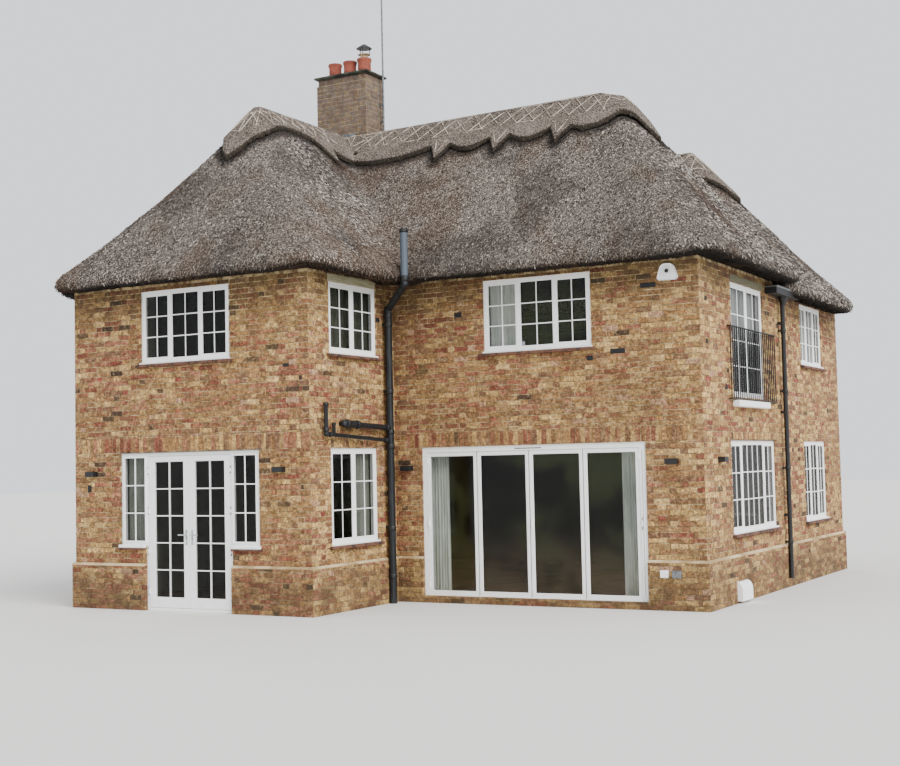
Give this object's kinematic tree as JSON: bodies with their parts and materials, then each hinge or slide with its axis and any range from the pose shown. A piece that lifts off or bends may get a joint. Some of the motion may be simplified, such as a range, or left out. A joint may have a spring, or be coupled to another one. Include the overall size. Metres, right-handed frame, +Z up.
{
  "type": "thatched cottage",
  "caption": "Two-storey brick cottage with a hipped thatched roof, block-cut ridge, chimney, casement windows, French doors that open and a folding garden door.",
  "frame": {"origin": "middle of the whole part's box at ground level, on the base plane", "axes": "+Z up, +X to the right along the garden front, +Y from the garden front to the back"},
  "size_m": [10.12, 10.635, 10.4],
  "materials": {
    "brick": "mottled stock brick in light lime mortar",
    "floor": "plain screed and boards",
    "thatch": "weathered water reed",
    "ridge_thatch": "weathered sedge ridge with hazel spars",
    "white_paint": "white gloss paint",
    "glass": "clear window glass",
    "black_metal": "black satin paint",
    "grey_pipe": "dark grey plastic",
    "cement": "weathered cement",
    "terracotta": "fired clay",
    "steel": "dull metal"
  },
  "bodies": {
    "house": {"wing_front_wall_left": "brick", "wing_front_wall_right": "brick", "wing_front_wall_upper": "brick", "wing_side_wall": "brick", "front_wall": "brick", "east_wall": "brick", "north_wall": "brick", "west_wall": "brick", "chimney_stack": "brick", "ground_floor": "floor", "first_floor": "floor", "thatch_wing": "thatch", "thatch_front_range": "thatch", "thatch_rear_range": "thatch", "ridge_cap_wing": "ridge_thatch", "ridge_cap_front_range": "ridge_thatch", "ridge_cap_rear_range": "ridge_thatch", "wing_front_upper_window": "white_paint", "front_upper_window": "white_paint", "wing_side_lower_window": "white_paint", "wing_side_upper_window": "white_paint", "east_lower_window": "white_paint", "east_rear_lower_window": "white_paint", "east_rear_upper_window": "white_paint", "north_left_upper_window": "white_paint", "north_right_upper_window": "white_paint", "north_lower_window": "white_paint", "west_upper_window": "white_paint", "west_lower_window": "white_paint", "upper_door": "white_paint", "french_door_frame": "white_paint", "folding_door_frame": "white_paint", "folding_door_leaves": "white_paint", "wing_front_upper_glass": "glass", "front_upper_glass": "glass", "wing_side_lower_glass": "glass", "wing_side_upper_glass": "glass", "east_lower_glass": "glass", "east_rear_lower_glass": "glass", "east_rear_upper_glass": "glass", "north_left_upper_glass": "glass", "north_right_upper_glass": "glass", "north_lower_glass": "glass", "west_upper_glass": "glass", "west_lower_glass": "glass", "upper_door_glass": "glass", "sidelight_glass_left": "glass", "sidelight_glass_right": "glass", "folding_door_glass": "glass", "upper_door_railing": "black_metal", "downpipe": "black_metal", "soil_pipe": "grey_pipe", "chimney_cap": "cement", "chimney_pots": "terracotta", "chimney_cowl": "steel", "aerial_mast": "steel"},
    "french_door_leaf_left": {"french_door_left": "white_paint", "french_door_left_glass": "glass"},
    "french_door_leaf_right": {"french_door_right": "white_paint", "french_door_right_glass": "glass"}
  },
  "joints": [
    {"name": "french_door_left_hinge", "type": "hinge", "parent": "house", "child": "french_door_leaf_left", "pos_m": [-3.1375, -4.8155, 1.1], "axis": [0, 0, -1], "range_deg": [0, 100]},
    {"name": "french_door_right_hinge", "type": "hinge", "parent": "house", "child": "french_door_leaf_right", "pos_m": [-1.6445, -4.8155, 1.1], "axis": [0, 0, 1], "range_deg": [0, 100]}
  ]
}
